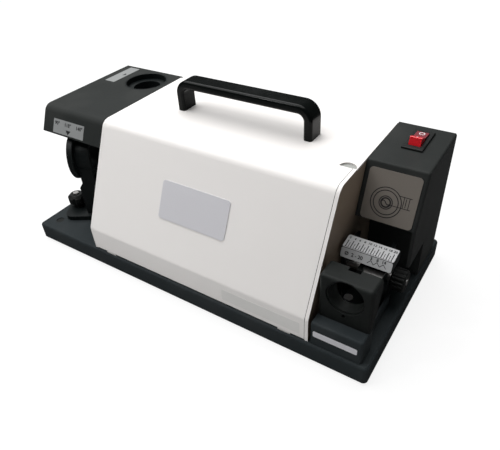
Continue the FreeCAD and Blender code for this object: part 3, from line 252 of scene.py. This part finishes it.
# Rubber feet below the base, and the blackened steel screws that hold them, sunk below the deck.
# The rubber is scuffed; the screws keep an uneven oxide.
rubber = Finish("foot_rubber", Specular_IOR_Level=0.25)
rubber.mottle(rubber.noise(120.0, 4.0), tone(0.012, 0.012, 0.012), tone(0.03, 0.029, 0.028),
              rough=0.7, spread=0.2)
rubber.coat_nodes("rubber_feet")
blackened = Finish("blackened_screw", Specular_IOR_Level=0.1)
blackened.mottle(blackened.noise(260.0), tone(0.009, 0.0105, 0.01), tone(0.016, 0.018, 0.0172),
                 rough=0.4, spread=0.2)
blackened.coat_nodes("foot_screws")


# White enclosure: top cover, sloped front cover and two end plates, bent from steel and painted.
# The front cover's right-facing faces are dark grey: painted shade of its open joint.
# The right plate's outer face is left in its brown-grey primer, with painted shade at its foot.
paint_white = tone(0.805, 0.782, 0.764)
paint_smudged = tone(0.735, 0.71, 0.685)
# Painted shade for the dark open joint at the front cover's right-hand edge.
gap_shade = tone(0.1, 0.095, 0.09)
primer_dark = tone(0.215, 0.165, 0.122)
primer_pale = tone(0.295, 0.23, 0.174)
# Painted shade at the right plate's foot: this tone, fading out between the two heights below.
foot_shade_tone = tone(0.11, 0.084, 0.06)
foot_shade_z = 50.0 * MM
foot_shade_end_z = 120.0 * MM


def orange_peel(paint):
    paint.bump(paint.noise(420.0, 2.0), 0.05, 0.5 * MM)


def sheet_paint(name, right_face_shade=None):
    """White paint with faint smudges; a sheet's right-facing faces can take painted shade."""
    paint = Finish(name, Specular_IOR_Level=0.25)
    smudge = paint.ramp(paint.noise(9.0, 5.0), (0.5, 0.0), (0.85, 1.0))
    colour = paint.mix(smudge * 0.3, paint_white, paint_smudged)
    if right_face_shade:
        colour = paint.mix(paint.facing_right(), colour, right_face_shade)
    paint.drive("Base Color", colour)
    paint.drive("Roughness", 0.46 + 0.12 * smudge)
    orange_peel(paint)
    return paint


white = sheet_paint("warm_white_paint")
white.coat_nodes("top_cover", "end_plate_left")
# The front cover's right-facing faces take painted shade, for the shadow in its open joint.
sheet_paint("gap_shade_white_paint", gap_shade).coat_nodes("front_cover")
primer = Finish("primed_end_plate", Specular_IOR_Level=0.3)
primer_cloud = primer.noise(18.0, 4.0)
# Painted shade: below the upper height the brown darkens towards the foot tone.
foot_shade_fade = primer.node("ShaderNodeMapRange", {}, {
    "Value": primer.along("Z"), "From Min": foot_shade_z, "From Max": foot_shade_end_z})
brown = primer.mix(foot_shade_fade, foot_shade_tone, primer.mix(primer_cloud, primer_dark, primer_pale))
primer.drive("Base Color", primer.mix(primer.facing_right(), paint_white, brown))
primer.drive("Roughness", 0.46 + 0.2 * primer_cloud)
orange_peel(primer)
primer.coat_nodes("end_plate_right")


# Seam beads: the joints of the front cover with the top cover and with the left end plate are
# closed by a fine white bead, level with the paint. The right end keeps its open joint.
bead_width = 0.34 * MM
bead_depth = 1.0 * MM
bead_inset = 0.56 * MM
top_seam_y = -12.2 * MM
left_seam_x = -100.8 * MM
notch_left = 123.2 * MM
flange_y = -87.5 * MM
flange_foot = 20.4 * MM
flange_top = 44.0 * MM
cover_top = 140.0 * MM
nose_round = 10.0 * MM
nose_steps = 8
cover_lean = 26.2
cover_slope = math.radians(cover_lean)


def thicken(piece, thickness, middle=False):
    """Give a flat piece its thickness, on the side that it faces or on both."""
    wall = piece.modifiers.new("wall", "SOLIDIFY")
    wall.thickness = thickness
    wall.offset = 0.0 if middle else 1.0
    bpy.context.view_layer.objects.active = piece
    bpy.ops.object.modifier_apply(modifier=wall.name)


def bead(name, start, path, width):
    """A bead along a path: a point drawn out step by step, then to its width and depth."""
    deselect()
    bpy.ops.mesh.primitive_plane_add(size=bead_width, location=(0, 0, 0))
    line = bpy.context.object
    line.name = name
    bpy.ops.object.mode_set(mode="EDIT")
    bpy.ops.mesh.select_all(action="SELECT")
    bpy.ops.mesh.merge(type="CENTER")
    bpy.ops.transform.translate(value=start)
    here = Vector(start)
    for point in path:
        bpy.ops.mesh.extrude_region_move(TRANSFORM_OT_translate={"value": Vector(point) - here})
        here = Vector(point)
    bpy.ops.mesh.select_all(action="SELECT")
    bpy.ops.mesh.extrude_region_move(TRANSFORM_OT_translate={"value": width})
    bpy.ops.object.mode_set(mode="OBJECT")
    thicken(line, bead_depth, middle=True)
    white.coat(line)
    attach(line, "machine")


bead_z = cover_top - bead_inset
bead_y = flange_y + bead_inset
bend_z = flange_top - bead_inset * math.tan(cover_slope / 2)
corner_y = bead_y + (bead_z - bend_z) * math.tan(cover_slope)
nose_turn = math.pi / 2 - cover_slope
nose_inner = nose_round - bead_inset
nose_y = corner_y + nose_inner * math.tan(nose_turn / 2)
nose_z = bead_z - nose_inner
left_x = left_seam_x - bead_width / 2
rise = [(left_x, bead_y, bend_z)]
for step in range(nose_steps + 1):
    angle = math.pi - cover_slope - nose_turn * step / nose_steps
    rise.append((left_x, nose_y + nose_inner * math.cos(angle),
                 nose_z + nose_inner * math.sin(angle)))
rise.append((left_x, top_seam_y + bead_width / 2, bead_z))
bead("left_bead", (left_x, bead_y, flange_foot), rise, (bead_width, 0, 0))
seam_front_y = top_seam_y - bead_width / 2
bead("seam_bead", (left_seam_x + bead_width / 2, seam_front_y, bead_z),
     [(notch_left, seam_front_y, bead_z)], (0, bead_width, 0))


# Finger notch: below the half-round notch in the top cover, a grey half disc is painted shade.
# It is a thin sheet laid on the ledge, standing for the shadow inside the notch.
notch_centre = (130.4 * MM, -12.0 * MM)
notch_radius = 6.9 * MM
notch_sides = 64
ledge_z = 138.5 * MM
notch_shade_thickness = 0.2 * MM
deselect()
bpy.ops.mesh.primitive_circle_add(vertices=notch_sides, radius=notch_radius, fill_type="NGON",
                                  location=(*notch_centre, ledge_z))
notch_floor = bpy.context.object
notch_floor.name = "notch_floor"
bpy.ops.object.transform_apply(location=True, rotation=False, scale=False)
bpy.ops.object.mode_set(mode="EDIT")
bpy.ops.mesh.select_all(action="SELECT")
bpy.ops.mesh.bisect(plane_co=(*notch_centre, ledge_z), plane_no=(0, 1, 0), clear_inner=True)
bpy.ops.object.mode_set(mode="OBJECT")
thicken(notch_floor, notch_shade_thickness)
# Painted shade: a mid grey for the shadow in the notch.
notch_shade = Finish("painted_notch_shade", Metallic=0.3)
notch_shade.mottle(notch_shade.noise(160.0), tone(0.27, 0.275, 0.262), tone(0.33, 0.335, 0.32),
            rough=0.45, spread=0.15)
notch_shade.coat(notch_floor)
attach(notch_floor, "machine")


# Foil plates: a bare silver plate on the sloped front and a bronze one on the leaning panel.
# Both are thin stuck-on metal with a fine grain brushed across them.
brushing = (1, 14, 14)
foil = Finish("silver_foil", Metallic=0.2, Specular_IOR_Level=0.4)
foil.mottle(foil.noise(900.0, 2.0, brushing), tone(0.64, 0.635, 0.665), tone(0.74, 0.735, 0.77),
            rough=0.4, spread=0.15)
foil.coat_nodes("name_plate")
bronze = Finish("dark_foil", Metallic=0.35, Specular_IOR_Level=0.4)
bronze.mottle(bronze.noise(900.0, 2.0, brushing), tone(0.185, 0.165, 0.144),
              tone(0.25, 0.226, 0.2), rough=0.38, spread=0.15)
bronze.coat_nodes("info_plate")


# Plain sticker at the foot of the front cover: hazy clear film over the paint, with nothing on it.
# It swings with the cover.
film_width = 76.0 * MM
film_height = 12.4 * MM
film_corner = 1.0 * MM
film_thickness = 0.12 * MM
film_place = (92.5 * MM, flange_y, 31.4 * MM)
upright_lean = 0


def settle(piece, lean, place, spin=0):
    """Lay a piece made in the XY plane on a face that leans back from upright, and apply it."""
    upright = Matrix.Rotation(math.radians(90 - lean), 4, "X")
    spun = Matrix.Rotation(math.radians(spin), 4, "Z")
    piece.matrix_world = Matrix.Translation(place) @ upright @ spun
    deselect()
    piece.select_set(True)
    bpy.context.view_layer.objects.active = piece
    bpy.ops.object.transform_apply(location=True, rotation=True, scale=True)


def sticker(name, width, height, corner, thickness, lean, place):
    """A sheet with round corners, laid on a leaning face."""
    deselect()
    bpy.ops.mesh.primitive_plane_add(size=1, location=(0, 0, 0))
    sheet = bpy.context.object
    sheet.name = name
    bpy.ops.object.mode_set(mode="EDIT")
    bpy.ops.mesh.select_all(action="SELECT")
    bpy.ops.transform.resize(value=(width, height, 1))
    bpy.ops.mesh.bevel(affect="VERTICES", offset=corner, segments=5)
    bpy.ops.object.mode_set(mode="OBJECT")
    thicken(sheet, thickness)
    settle(sheet, lean, place)
    return sheet


front_film = sticker("front_film", film_width, film_height, film_corner, film_thickness,
                     upright_lean, film_place)
film = Finish("clear_film")
film.mottle(film.noise(70.0), tone(0.69, 0.68, 0.66), tone(0.74, 0.73, 0.71),
            rough=0.3, spread=0.12)
film.coat(front_film)
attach(front_film, "front_cover")


# Carrying handle: one moulded strap of glossy black plastic on two legs, screwed to the top cover
# from below. The gloss is a little worn.
gloss = Finish("gloss_black_plastic", Specular_IOR_Level=0.1)
gloss.mottle(gloss.noise(60.0, 4.0), tone(0.002, 0.003, 0.0028), tone(0.004, 0.005, 0.0048),
             rough=0.1, spread=0.12)
gloss.coat_nodes("carry_handle")


# Hood stickers: grey foil with a pointer at each chuck socket, on the hood's sloped front and top.
# Both carry a black arrow head; the front one also has the range of point angles in degrees.
label_lift = 0.2 * MM
label_corner = 0.5 * MM
ink_thickness = 0.03 * MM
ink_weld = 0.001 * MM
arrow_flatness = 0.66
arrow_blunting = 0.08
figure_weight = 0.03
flat_lean = 90


def out_of(lean):
    """The way out of a face that leans back from upright, in degrees."""
    return Vector((0, -math.cos(math.radians(lean)), math.sin(math.radians(lean))))


def arrow(radius, drop=0.0):
    """An arrow head that points to -Y of its sheet, its middle dropped below the sheet's."""
    deselect()
    bpy.ops.mesh.primitive_circle_add(vertices=3, radius=radius, fill_type="NGON",
                                      rotation=(0, 0, math.pi))
    head = bpy.context.object
    bpy.ops.object.transform_apply(location=True, rotation=True, scale=True)
    bpy.ops.object.mode_set(mode="EDIT")
    bpy.ops.mesh.select_all(action="SELECT")
    bpy.ops.mesh.bevel(affect="VERTICES", offset=radius * arrow_blunting, segments=2)
    bpy.ops.transform.resize(value=(1, arrow_flatness, 1))
    bpy.ops.transform.translate(value=(0, -drop, 0))
    bpy.ops.object.mode_set(mode="OBJECT")
    return head


def figures(words, height, x, y):
    """Printed figures, centred on a point of their sheet, as a flat mesh."""
    deselect()
    bpy.ops.object.text_add(location=(x, y, 0))
    line = bpy.context.object
    line.data.body = words
    line.data.size = height
    line.data.offset = figure_weight * height
    line.data.align_x = "CENTER"
    line.data.align_y = "CENTER"
    line.data.resolution_u = 4
    bpy.ops.object.convert(target="MESH")
    bpy.ops.object.transform_apply(location=True, rotation=True, scale=True)
    return bpy.context.object


def printed(name, marks, lean, place, spin=0):
    """Join the marks of one print, give the ink its body and lay it on its sheet."""
    deselect()
    for mark in marks:
        mark.select_set(True)
    bpy.context.view_layer.objects.active = marks[0]
    if len(marks) > 1:
        bpy.ops.object.join()
    ink_piece = bpy.context.object
    ink_piece.name = name
    ink_piece.data.name = name
    bpy.ops.object.mode_set(mode="EDIT")
    bpy.ops.mesh.select_all(action="SELECT")
    bpy.ops.mesh.remove_doubles(threshold=ink_weld)
    bpy.ops.object.mode_set(mode="OBJECT")
    thicken(ink_piece, ink_thickness)
    settle(ink_piece, lean, place, spin)
    return ink_piece


front_label_place = Vector((-149.75 * MM, -48.26 * MM, 123.75 * MM))
front_label = sticker("hood_front_label", 43.5 * MM, 13.9 * MM, label_corner, label_lift,
                      cover_lean, front_label_place)
front_arrow = arrow(4.3 * MM, drop=3.0 * MM)
angle_figures = figures("90°     118°     140°", height=5.0 * MM, x=0, y=2.9 * MM)
front_print = printed("hood_front_print", [front_arrow, angle_figures], cover_lean,
                      front_label_place + out_of(cover_lean) * label_lift)
top_label_place = Vector((-170.5 * MM, 54.0 * MM, cover_top))
top_arrow_shift = Vector((2.0 * MM, 1.0 * MM, label_lift))
top_label = sticker("hood_top_label", 13.5 * MM, 41.0 * MM, label_corner, label_lift,
                    flat_lean, top_label_place)
top_print = printed("hood_top_print", [arrow(3.6 * MM)], flat_lean,
                    top_label_place + top_arrow_shift, spin=90)
label_grain = (1, 1, 8)
label_grey = Finish("grey_foil_label", Specular_IOR_Level=0.05)
label_grey.mottle(label_grey.noise(700.0, 2.0, label_grain), tone(0.215, 0.222, 0.222),
                  tone(0.27, 0.278, 0.278), rough=0.42, spread=0.16)
label_grey.coat(front_label, top_label)
ink = Finish("printing_ink", Specular_IOR_Level=0.3)
ink.mottle(ink.noise(300.0), tone(0.008, 0.008, 0.009), tone(0.02, 0.02, 0.022),
           rough=0.5, spread=0.2)
ink.coat(front_print, top_print)
for piece in (front_label, top_label):
    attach(piece, "machine")
for piece in (front_print, top_print):
    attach(piece, "machine")


# Diagram on the panel's plate: the end of a drill in rings, with its flute and dimension lines,
# in black ink. It is drawn about the rings' centre, below and left of the plate's middle.
panel_lean = 19.4
plate_thickness = 0.6 * MM
plate_middle = Vector((163.2 * MM, -1.136 * MM, 115.476 * MM))
hoop_sides = 72
rings_x = -2.9 * MM
rings_y = -4.3 * MM
ring_radii = (12.6 * MM, 10.2 * MM, 5.6 * MM)
ring_line = 0.75 * MM
bore_radius = 4.3 * MM
bore_line = 1.2 * MM
flute_line = 0.8 * MM
flute = [(-3.6, 0.6), (-2.2, 1.6), (-0.6, 0.9), (0.6, -0.9), (2.2, -1.6), (3.6, -0.6)]
measure_line = 0.55 * MM
measures = [((9.0, 7.9), (19.5, 7.9)), ((3.4, -1.2), (19.5, -1.2)), ((17.6, 7.9), (17.6, -1.2)),
            ((15.2, 6.9), (15.2, -0.2)), ((13.4, 7.9), (13.4, -1.2))]


def hoop(radius, width, x, y):
    """A printed ring: a circle of edges, extruded and drawn inwards."""
    deselect()
    bpy.ops.mesh.primitive_circle_add(vertices=hoop_sides, radius=radius, fill_type="NOTHING")
    ring = bpy.context.object
    bpy.ops.object.mode_set(mode="EDIT")
    bpy.ops.mesh.select_all(action="SELECT")
    bpy.ops.mesh.extrude_edges_move()
    inner = (radius - width) / radius
    bpy.ops.transform.resize(value=(inner, inner, 1))
    bpy.ops.mesh.select_all(action="SELECT")
    bpy.ops.mesh.normals_make_consistent(inside=False)
    bpy.ops.transform.translate(value=(x, y, 0))
    bpy.ops.object.mode_set(mode="OBJECT")
    if ring.data.polygons[0].normal.z < 0:
        ring.data.flip_normals()
    return ring


def stroke(start, end, width, x=0.0, y=0.0):
    """A printed straight line between two points in millimetres, shifted on its sheet."""
    x0, y0, x1, y1 = (x + start[0] * MM, y + start[1] * MM, x + end[0] * MM, y + end[1] * MM)
    run = Vector((x1 - x0, y1 - y0, 0))
    deselect()
    bpy.ops.mesh.primitive_plane_add(size=1, location=((x0 + x1) / 2, (y0 + y1) / 2, 0))
    line = bpy.context.object
    line.scale = (run.length, width, 1)
    line.rotation_euler = (0, 0, math.atan2(run.y, run.x))
    bpy.ops.object.transform_apply(location=True, rotation=True, scale=True)
    return line


diagram = [hoop(radius, ring_line, rings_x, rings_y) for radius in ring_radii]
diagram.append(hoop(bore_radius, bore_line, rings_x, rings_y))
for start, end in zip(flute, flute[1:]):
    diagram.append(stroke(start, end, flute_line, rings_x, rings_y))
for start, end in measures:
    diagram.append(stroke(start, end, measure_line, rings_x, rings_y))
panel_print = printed("panel_print", diagram, panel_lean,
                      plate_middle + out_of(panel_lean) * plate_thickness)
ink.coat(panel_print)
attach(panel_print, "machine")


# Rocker switch: a glossy red moulded rocker in a black frame, with a white ring and bar printed on
# its two halves. The back half is a darker red, painted shade; the front one a clear red.
rocker_place = Vector((164.0 * MM, 51.5 * MM, 140.3 * MM))
rocker_tilt = 14.0
rocker_half = 11.0
rocker_dip = 3.5
rocker_end = 5.5
mark_reach = 6.6
ring_radius, ring_width = 2.5 * MM, 0.7 * MM
bar_half, bar_width = 2.0, 0.8 * MM
# Painted shade on the rocker's back half: a darker red than the front.
rocker_back_shade = tone(0.2, 0.034, 0.044)
rocker_rise = rocker_end - rocker_dip
rocker_fall = math.degrees(math.atan2(rocker_rise, rocker_half))
mark_rise = rocker_dip + mark_reach * rocker_rise / rocker_half
tilted = Matrix.Rotation(math.radians(-rocker_tilt), 4, "X")
off_place = rocker_place + tilted @ Vector((0, mark_reach * MM, mark_rise * MM))
on_place = rocker_place + tilted @ Vector((0, -mark_reach * MM, mark_rise * MM))
off_mark = printed("rocker_ring", [hoop(ring_radius, ring_width, 0, 0)],
                   flat_lean - rocker_fall + rocker_tilt, off_place)
on_mark = printed("rocker_bar", [stroke((0, -bar_half), (0, bar_half), bar_width)],
                  flat_lean + rocker_fall + rocker_tilt, on_place)
mark_white = Finish("white_ink")
mark_white.mottle(mark_white.noise(400.0), tone(0.72, 0.70, 0.70), tone(0.82, 0.80, 0.80),
                  rough=0.4, spread=0.15)
mark_white.coat(off_mark, on_mark)
for piece in (off_mark, on_mark):
    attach(piece, "rocker")
red = Finish("red_plastic", Coat_Weight=0.5)
swirl = red.noise(240.0)
clear_red = red.mix(swirl, tone(0.68, 0.008, 0.016), tone(0.76, 0.01, 0.02))
red.drive("Base Color", red.mix(red.along("Y") > rocker_place.y, clear_red, rocker_back_shade))
red.drive("Roughness", 0.24 + 0.1 * swirl)
red.coat_nodes("switch_rocker")


# Setting station: a plain foil strip on the front wall, and a pale label on the scale block's top
# and front, printed in black ink with the ticks and figures of the diameter scale.
scale_corner = 1.2 * MM
strip_place = (160.9 * MM, flange_y, 32.4 * MM)
strip = sticker("station_strip", 37.0 * MM, 6.0 * MM, scale_corner, label_lift,
                upright_lean, strip_place)
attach(strip, "machine")
scale_middle = 161.8 * MM
scale_width = 41.6 * MM
top_drop, top_run = 1.9, 14.3
top_lean = flat_lean - math.degrees(math.atan2(top_drop, top_run))
scale_top_place = Vector((scale_middle, -30.45 * MM, 85.65 * MM))
scale_top_label = sticker("scale_top_label", scale_width, 13.8 * MM, scale_corner, label_lift,
                          top_lean, scale_top_place)
face_run, face_drop = 3.4, 7.7
face_lean = math.degrees(math.atan2(face_run, face_drop))
scale_face_place = Vector((scale_middle, -39.3 * MM, 80.85 * MM))
scale_face_label = sticker("scale_face_label", scale_width, 7.9 * MM, scale_corner, label_lift,
                           face_lean, scale_face_place)
tick_count = 19
tick_pitch = 2.06
tick_foot = -6.2
tall_tick, tall_line = 1.4, 0.75 * MM
short_tick, short_line = -1.0, 0.5 * MM
foot_half, foot_line = 19.4, 0.4 * MM
tick_figure, tick_figure_y = 3.1 * MM, 3.9 * MM
first_figure = 2
ticks = [stroke((-foot_half, tick_foot), (foot_half, tick_foot), foot_line)]
for number in range(tick_count):
    x = (number - (tick_count - 1) / 2) * tick_pitch
    if number % 2 == 0:
        ticks.append(stroke((x, tick_foot), (x, tall_tick), tall_line))
        ticks.append(figures(str(number + first_figure), tick_figure, x * MM, tick_figure_y))
    else:
        ticks.append(stroke((x, tick_foot), (x, short_tick), short_line))
scale_top_print = printed("scale_top_print", ticks, top_lean,
                          scale_top_place + out_of(top_lean) * label_lift)
zigzag_line = 0.5 * MM
zigzag = [(1.5, -2.2), (4.0, 0.6), (6.5, -2.2), (9.0, 0.6), (11.5, -2.2), (14.0, 0.6),
          (16.5, -2.2)]
step_figure, step_figure_y = 3.4 * MM, 2.2 * MM
step_figures = (("3", 4.0), ("8", 9.0), ("14", 14.0))
steps = [stroke(start, end, zigzag_line) for start, end in zip(zigzag, zigzag[1:])]
steps += [figures(words, step_figure, x * MM, step_figure_y) for words, x in step_figures]
steps.append(figures("Ø  2 - 20", height=4.0 * MM, x=-10.0 * MM, y=-0.2 * MM))
scale_face_print = printed("scale_face_print", steps, face_lean,
                           scale_face_place + out_of(face_lean) * label_lift)
label_white = Finish("pale_foil_label", Specular_IOR_Level=0.4)
label_white.mottle(label_white.noise(700.0, 2.0, label_grain), tone(0.37, 0.375, 0.38),
                   tone(0.44, 0.445, 0.45), rough=0.4, spread=0.16)
label_white.coat(scale_top_label, scale_face_label)
foil.coat(strip)
ink.coat(scale_top_print, scale_face_print)
for piece in (scale_top_label, scale_face_label):
    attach(piece, "machine")
for piece in (scale_top_print, scale_face_print):
    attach(piece, "machine")


# Black pieces: sockets, brackets, swivel and motor shell, cast or milled and blackened to a satin
# sheen, the setting socket with the screws' oxide. Knobs, slide, fan and the switch's body are matt
# moulded plastic.
satin = Finish("satin_black_metal", Specular_IOR_Level=0.13)
satin.mottle(satin.noise(34.0, 4.0), tone(0.0045, 0.0062, 0.0064), tone(0.0095, 0.012, 0.0122),
             rough=0.34, spread=0.2)
satin.bump(satin.noise(1100.0, 2.0), 0.08, 0.3 * MM)
satin.coat_nodes("chisel_sleeve", "setting_bracket", "scale_block", "motor_can", "motor_cradle",
                 "swivel_plate", "swivel_bracket", "angle_socket")
blackened.coat_nodes("setting_socket")
moulded = Finish("matt_black_plastic", Specular_IOR_Level=0.2)
moulded.mottle(moulded.noise(80.0), tone(0.005, 0.006, 0.0058), tone(0.010, 0.011, 0.0105),
               rough=0.45, spread=0.15)
moulded.bump(moulded.noise(1800.0, 2.0), 0.1, 0.2 * MM)
moulded.coat_nodes("switch_body", "cable_gland", "run_capacitor", "setting_slide",
                   "setting_thumb_wheel", "clamp_knob", "cooling_fan")


# Bright metal: screws, rods, the finger, the shaft and the cores in turned steel, bells and wheel
# flange in light alloy, and the motor's winding ends in enamelled copper.
steel = Finish("turned_steel", Metallic=1.0)
steel.mottle(steel.noise(1400.0, stretch=(1, 1, 0.15)), tone(0.42, 0.41, 0.40),
             tone(0.58, 0.57, 0.56), rough=0.24, spread=0.2)
steel.coat_nodes("end_plate_screws", "handle_screws", "bracket_screws", "strap_screws",
                 "capacitor_clip", "guide_rod", "pivot_bolt", "stator_core", "bearing_left",
                 "bearing_right", "motor_straps", "rotor_shaft", "rotor_core", "lead_screw",
                 "setting_finger", "clamp_stud", "wheel_nut")
alloy = Finish("light_alloy", Metallic=1.0)
alloy.mottle(alloy.noise(300.0), tone(0.58, 0.58, 0.59), tone(0.70, 0.70, 0.71),
             rough=0.34, spread=0.18)
alloy.coat_nodes("motor_bell_left", "motor_bell_right", "wheel_flange")
copper = Finish("enamelled_copper", Metallic=0.8)
copper.mottle(copper.noise(900.0, 2.0, (0.2, 1, 1)), tone(0.32, 0.12, 0.05),
              tone(0.62, 0.27, 0.12), rough=0.28, spread=0.2)
copper.coat_nodes("winding_left", "winding_right")


# Grinding wheel: a turned alloy hub on the motor's shaft, below the hood,
# with a band of dark abrasive grit bonded to its rim.
grit_start = 33.0 * MM
motor_y = 10.0 * MM
motor_z = 79.0 * MM
wheel = Finish("abrasive_wheel")
across = wheel.along("Y") - motor_y
height = wheel.along("Z") - motor_z
band = across * across + height * height > grit_start ** 2
grit = wheel.noise(2600.0, 2.0)
hub_grey = wheel.mix(wheel.noise(300.0), tone(0.55, 0.55, 0.56), tone(0.68, 0.68, 0.69))
grit_grey = wheel.mix(grit, tone(0.06, 0.055, 0.05), tone(0.24, 0.22, 0.19))
wheel.drive("Base Color", wheel.mix(band, hub_grey, grit_grey))
wheel.drive("Metallic", 1 - band)
wheel.drive("Roughness", 0.35 + 0.45 * band)
wheel.bump(grit * band, 0.5, 0.3 * MM)
wheel.coat_nodes("grinding_wheel")
